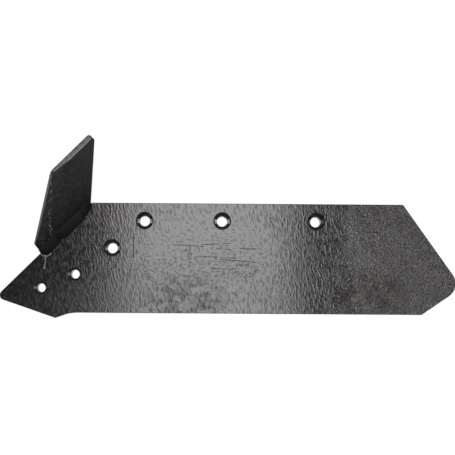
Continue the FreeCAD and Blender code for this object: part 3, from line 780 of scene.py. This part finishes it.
@dataclass
class WeldBead:
    """The weld in the corner between the working face and the fin."""

    landside: Landside
    finish: WeldPaint = WeldPaint()
    start: float = 1.6
    end: float = 98.6
    blade_leg: float = 10.2
    fin_leg: float = 9.2
    seat: float = 0.25
    ripple_pitch: float = 3.1
    ripple_height: float = 0.12
    lip: float = 0.55
    lip_place: float = 0.035
    lip_width: float = 0.03
    end_round: float = 5.0
    pinches: tuple[Triple, ...] = ((3.0, 35.5, 5.2), (2.6, 3.0, 6.0), (1.4, 80.5, 2.2))
    waves: tuple[Triple, ...] = ((0.30, 5.1, 0.0), (0.26, 7.7, 1.0), (0.16, 2.3, 0.0))
    taper_start: float = 77
    taper_slope: float = 0.36
    fin_leg_loss: float = 0.25
    rows: int = 420
    columns: int = 44

    def leg(self, p: np.ndarray) -> np.ndarray:
        """The width of the weld on the working face.

        It is the full leg, less a bell for each pinch (depth, place, width), less
        a straight taper over the last fifth, plus a sine for each wave (height,
        length, phase).
        """
        pinch = sum(depth * np.exp(-((p - place) / width) ** 2)
                    for depth, place, width in self.pinches)
        taper = self.taper_slope * np.clip(p - self.taper_start, 0, None)
        scallop = sum(height * np.sin(2 * np.pi * p / length + phase)
                      for height, length, phase in self.waves)
        return self.blade_leg - pinch - taper + scallop

    def build(self) -> None:
        """Builds the bead as a section carried along the landside edge.

        The open part of the section is a curve of second order from the toe on
        the working face, past a point just above the middle of its chord, to
        the toe on the fin.  A low rounded lip stands at the first toe, and
        swells and dies away along the weld.  The closed part runs back a little
        inside the two plates.  Ripples bow along the bead, and both ends shrink
        to the corner like a quarter circle.
        """
        p = np.linspace(self.start, self.end, self.rows)[:, None]
        t = (np.linspace(0, 1, self.columns)[None, :]) ** 1.35
        leg = self.leg(p)
        fin_leg = self.fin_leg * (1 - self.fin_leg_loss * np.clip((p - 50) / 45, 0, 1))
        fin_n, fin_h = self.landside.up_fin(fin_leg)
        mid_n, mid_h = 0.5 * (fin_n - leg) - 0.35, 0.5 * fin_h + 0.6
        n = -leg * (1 - t) ** 2 + 2 * mid_n * t * (1 - t) + fin_n * t ** 2
        h = 2 * mid_h * t * (1 - t) + fin_h * t ** 2
        swell = 0.55 + 0.45 * np.sin(2 * np.pi * p / 9.3) * np.sin(2 * np.pi * p / 23 + 2)
        lip = self.lip * swell * np.exp(-((t - self.lip_place) / self.lip_width) ** 2)
        bow = p / self.ripple_pitch + 1.6 * (t - 0.4) ** 2
        ripple = self.ripple_height * np.abs(np.sin(np.pi * bow)) * np.sin(np.pi * t)
        h = h + lip + ripple
        n = n - 0.4 * ripple
        back_n = np.concatenate([fin_n + self.seat, np.full_like(leg, self.seat), -leg], axis=1)
        back_h = np.concatenate([fin_h - self.seat, np.full_like(leg, -self.seat),
                                 np.full_like(leg, -self.seat)], axis=1)
        n = np.concatenate([n, back_n], axis=1)
        h = np.concatenate([h, back_h], axis=1)
        near = np.clip(np.minimum(p - self.start, self.end - p) / self.end_round, 0, 1)
        taper = np.sqrt(1 - (1 - near) ** 2)
        points = self.landside.points(p, n * taper, h * taper)
        piece = surface("furrow_side_weld_bead", points)
        close_and_face_out(piece)
        add_piece(piece, self.finish.material("weld_paint_with_painted_shade"), "furrow_side_weld")


Domes = tuple[np.ndarray, np.ndarray, np.ndarray, np.ndarray]


@dataclass
class Droplets:
    """Beads of spatter and a run of paint that stand on the steel, in millimetres.

    Each kind of drop is worked out as feet and three half axes, as arrays.
    """

    landside: Landside
    weld: WeldBead
    shape: FinShape = FinShape()
    finish: DropPaint = DropPaint()
    blobs: tuple[Triple, ...] = ((39.2, 40.0, 1.2), (38.4, 37.0, 1.0), (37.0, 32.5, 0.9),
                                 (24.1, 18.3, 1.1), (25.5, 21.0, 0.7), (50.5, 57.1, 0.8),
                                 (62.4, 73.2, 0.8), (74.2, 83.8, 0.9), (81.6, 93.7, 0.8))
    on_fin: int = 26
    beside: int = 16
    at_toe: int = 34
    rim: Triple = (-134.4, -41.0, 8.4)
    rim_sweep: tuple[float, float] = (226, 322)
    rim_count: int = 15
    run: Triple = (-135.2, -48.0, 18.0)
    run_count: int = 28
    sides: int = 12
    rings: int = 5
    foot_angle: float = -0.35
    seed: int = 7

    def domes(self, centres: np.ndarray, across: np.ndarray, along: np.ndarray,
              rise: np.ndarray) -> bpy.types.Object:
        """Makes one mesh of closed oval domes.

        Each dome is its centre plus across and along times a circle whose size
        is the cosine of the ring's angle, plus rise times its sine.  The last
        ring closes the foot a little inside the steel.

        Args:
            centres: the middle of each foot, (count, 3), in metres.
            across, along: the two half axes of each foot, (count, 3).
            rise: the vector from the foot to the top, (count, 3).

        Returns:
            The new object.
        """
        lift = np.linspace(math.pi / 2, self.foot_angle, self.rings)
        spin = np.linspace(0, 2 * math.pi, self.sides, endpoint=False)
        size, level = np.cos(lift)[:, None], np.sin(lift)[:, None]
        ring = np.stack([size * np.cos(spin), size * np.sin(spin),
                         level * np.ones_like(spin)], axis=-1).reshape(-1, 3)
        axes = np.stack([across, along, rise], axis=1)
        points = (centres[:, None, :] + np.einsum("ij,njk->nik", ring, axes)).reshape(-1, 3)
        count = len(centres)
        index = np.arange(self.rings * self.sides).reshape(self.rings, self.sides)
        turned = np.roll(index, -1, axis=1)
        quads = np.stack([index[:-1], index[1:], turned[1:], turned[:-1]],
                         axis=-1).reshape(-1, 4)
        start = (np.arange(count) * self.rings * self.sides)[:, None, None]
        faces = (quads[None] + start).reshape(-1, 4).tolist()
        feet = (index[-1][::-1][None] + start[:, 0]).tolist()
        mesh = bpy.data.meshes.new("weld_spatter")
        mesh.from_pydata(points.tolist(), [], faces + feet)
        mesh.shade_smooth()
        piece = bpy.data.objects.new("weld_spatter", mesh)
        bpy.context.scene.collection.objects.link(piece)
        close_and_face_out(piece)
        return piece

    def directions(self) -> tuple[np.ndarray, ...]:
        """Up the landside edge, square to it, upright, up the fin, and out of the fin."""
        lean, turn = math.radians(self.landside.fin_lean), math.radians(self.landside.angle)
        edge = np.array([math.cos(turn), math.sin(turn), 0.0])
        square = np.array([-math.sin(turn), math.cos(turn), 0.0])
        upright = np.array([0.0, 0.0, 1.0])
        up_fin = square * math.sin(lean) + upright * math.cos(lean)
        out_fin = upright * math.sin(lean) - square * math.cos(lean)
        return edge, square, upright, up_fin, out_fin

    def spatter_on_fin(self, rng: np.random.Generator) -> Domes:
        """Drops scattered a little off a straight line up the fin, and the big blobs."""
        edge, _, _, up_fin, out_fin = self.directions()
        big = np.array(self.blobs)
        share = rng.uniform(0, 1, self.on_fin) ** 1.3
        p = np.concatenate([24 + 58 * share + rng.normal(0, 1.1, self.on_fin), big[:, 0]])
        up = np.concatenate([19 + 75 * share + rng.normal(0, 1.5, self.on_fin), big[:, 1]])
        size = np.concatenate([rng.uniform(0.35, 0.75, self.on_fin), big[:, 2]])[:, None] * MM
        stretch = rng.uniform(1.0, 1.8, size.shape)
        feet = self.landside.on_fin(p, up, self.shape.bevel_level(p, up))
        return feet, edge * size, up_fin * size * stretch, out_fin * size * 0.6

    def spatter_beside_weld(self, rng: np.random.Generator) -> Domes:
        """Drops on the working face, thinning out away from the weld."""
        edge, square, upright, _, _ = self.directions()
        p = rng.uniform(2, 90, self.beside)
        n = -11.8 - rng.exponential(5.0, self.beside)
        size = rng.uniform(0.3, 0.6, self.beside)[:, None] * MM
        feet = self.landside.points(p, n, np.zeros(self.beside))
        return feet, edge * size, square * size, upright * size * 0.5

    def beads_at_toe(self, rng: np.random.Generator) -> Domes:
        """Long low beads of paint along the weld's toe on the working face."""
        edge, square, upright, _, _ = self.directions()
        p = np.sort(rng.uniform(8, 92, self.at_toe))
        size = rng.uniform(0.25, 0.55, self.at_toe)[:, None] * MM
        feet = self.landside.points(p, -self.weld.leg(p) - 0.2, np.zeros(self.at_toe))
        return feet, edge * size * 2.0, square * size * 0.8, upright * size * 0.6

    def rim_beads(self) -> Domes:
        """Beads on an arc round the start of the weld, their size a wave along it."""
        edge, square, upright, _, _ = self.directions()
        sweep = np.radians(np.linspace(*self.rim_sweep, self.rim_count))
        centre_x, centre_y, radius = self.rim
        feet = np.stack([centre_x + radius * np.cos(sweep), centre_y + radius * np.sin(sweep),
                         np.full_like(sweep, self.landside.thickness)], axis=-1) * MM
        size = (0.95 + 0.35 * np.sin(7 * sweep))[:, None] * MM
        return feet, edge * size * 1.2, square * size, upright * size * 0.5

    def paint_run(self) -> Domes:
        """Beads so close that they make one run of paint, with a drop at its end.

        The run is a straight line down Y with a slight wave across it, and its
        width is a wave plus a bell at the end.
        """
        upright = self.directions()[2]
        steps = np.linspace(0, 1, self.run_count)
        start_x, start_y, length = self.run
        feet = np.stack([start_x + 0.5 * np.sin(5 * steps), start_y - length * steps,
                         np.full_like(steps, self.landside.thickness)], axis=-1) * MM
        wide = (0.85 + 0.45 * np.exp(-((steps - 1) / 0.08) ** 2)
                + 0.15 * np.sin(9 * steps))[:, None] * MM
        return (feet, np.array([1.0, 0, 0]) * wide, np.array([0, 1.0, 0]) * wide * 1.2,
                upright * wide * 0.5)

    def build(self) -> None:
        """Sets all the drops in one piece and paints it."""
        rng = np.random.default_rng(self.seed)
        groups = [self.spatter_on_fin(rng), self.spatter_beside_weld(rng),
                  self.beads_at_toe(rng), self.rim_beads(), self.paint_run()]
        piece = self.domes(*(np.concatenate(part) for part in zip(*groups)))
        # The drops' light grey finish is partly painted highlight.
        add_piece(piece, self.finish.material("spatter_paint_with_painted_highlight"))


# ------------------------------------------------------------------ studio

class Ray(Enum):
    """The kinds of ray that see the floor as a white sheet."""

    CAMERA = "Is Camera Ray"
    GLOSSY = "Is Glossy Ray"
    TRANSMISSION = "Is Transmission Ray"


@dataclass(frozen=True)
class SoftBox:
    """A rectangular studio lamp that faces the floor, in metres."""

    name: str
    centre: Triple
    width: float
    length: float
    radiance: float

    def build(self) -> None:
        """Adds the lamp; its power is its radiance times pi times its area."""
        lamp = bpy.data.lights.new(self.name, "AREA")
        lamp.shape = "RECTANGLE"
        lamp.size, lamp.size_y = self.width, self.length
        lamp.energy = self.radiance * math.pi * self.width * self.length
        holder = bpy.data.objects.new(self.name, lamp)
        holder.location = self.centre
        bpy.context.scene.collection.objects.link(holder)


@dataclass
class Studio:
    """A white floor, soft boxes overhead and a camera that looks straight down.

    Lengths are in metres, angles in degrees and the sensor in millimetres.
    """

    view_x: float = 0.0734
    view_y: float = -0.1006
    view_height: float = 0.772
    view_width: float = 0.6193
    face_height: float = 0.012
    roll: float = 0.4
    shift: tuple[float, float] = (0.0648, 0.148)
    sensor: float = 36.0
    ambient: float = 0.12
    floor_half: float = 5.0
    floor_level: float = -0.0002
    floor_colour: float = 0.8
    floor_lit: float = 0.3
    floor_glow: float = 0.84
    lamp_y: float = -0.05
    lamp_z: float = 1.51
    lamp_length: float = 1.3
    overhead_x: float = 0.108
    overhead_width: float = 0.69
    overhead_radiance: float = 6.0
    strip_x: float = 0.74
    strip_pitch: float = 0.16
    strip_width: float = 0.06
    strip_radiances: tuple[float, ...] = (0.9, 2.8, 5.6, 7.5, 7.5)

    def lamps(self) -> list[SoftBox]:
        """The overhead box, and the row of strips that picks out the relief of the wing."""
        boxes = [SoftBox("overhead_box", (self.overhead_x, self.lamp_y, self.lamp_z),
                         self.overhead_width, self.lamp_length, self.overhead_radiance)]
        for i, radiance in enumerate(self.strip_radiances):
            centre = (self.strip_x + i * self.strip_pitch, self.lamp_y, self.lamp_z)
            boxes.append(SoftBox(f"wing_strip_{i + 1}", centre, self.strip_width,
                                 self.lamp_length, radiance))
        return boxes

    def add_floor(self) -> None:
        """Adds the floor, which looks white and still keeps a shadow."""
        shader = Shader("white_floor")
        kinds = shader.node("ShaderNodeLightPath")
        seen = Value(shader, kinds.outputs[Ray.CAMERA.value])
        for ray in (Ray.GLOSSY, Ray.TRANSMISSION):
            seen = seen.most(Value(shader, kinds.outputs[ray.value]))
        plain = shader.node("ShaderNodeBsdfDiffuse", inputs={"Color": (*[self.floor_colour] * 3, 1)})
        lit = shader.node("ShaderNodeBsdfDiffuse", inputs={"Color": (*[self.floor_lit] * 3, 1)})
        glow = shader.node("ShaderNodeEmission", inputs={"Strength": self.floor_glow})
        white = shader.node("ShaderNodeAddShader", inputs={0: lit.outputs[0], 1: glow.outputs[0]})
        both = shader.node("ShaderNodeMixShader", inputs={
            0: seen, 1: plain.outputs[0], 2: white.outputs[0]})
        shader.node("ShaderNodeOutputMaterial", inputs={"Surface": both.outputs[0]})
        half, level = self.floor_half, self.floor_level
        mesh = bpy.data.meshes.new("studio_floor")
        mesh.from_pydata([(-half, -half, level), (half, -half, level), (half, half, level),
                          (-half, half, level)], [], [(0, 1, 2, 3)])
        mesh.materials.append(shader.material)
        floor = bpy.data.objects.new("studio_floor", mesh)
        bpy.context.scene.collection.objects.link(floor)

    def add_world(self) -> None:
        """Adds an even pale surround."""
        world = bpy.data.worlds.new("studio_surround")
        world.use_nodes = True
        background = world.node_tree.nodes["Background"]
        background.inputs["Color"].default_value = (1.0, 1.0, 1.0, 1.0)
        background.inputs["Strength"].default_value = self.ambient
        bpy.context.scene.world = world

    def add_camera(self) -> None:
        """Adds the camera; its lens frames the view width at the working face."""
        lens = bpy.data.cameras.new("overhead_camera")
        lens.sensor_width = self.sensor
        lens.lens = self.sensor * (self.view_height - self.face_height) / self.view_width
        lens.shift_x, lens.shift_y = self.shift
        camera = bpy.data.objects.new("overhead_camera", lens)
        camera.location = (self.view_x, self.view_y, self.view_height)
        camera.rotation_euler = (0, 0, math.radians(self.roll))
        bpy.context.scene.collection.objects.link(camera)
        bpy.context.scene.camera = camera

    def build(self) -> None:
        """Sets up the floor, the surround, the lamps and the camera."""
        bpy.context.scene.view_settings.view_transform = "Standard"
        self.add_floor()
        self.add_world()
        for box in self.lamps():
            box.build()
        self.add_camera()


def main() -> None:
    """Builds the share piece by piece and the studio around it."""
    logging.basicConfig(level=logging.INFO, format="%(message)s")
    landside = Landside()
    ShareBlade().build()
    CoulterFin(landside).build()
    weld = WeldBead(landside)
    weld.build()
    Droplets(landside, weld).build()
    Studio().build()


if __name__ == "__main__":
    main()
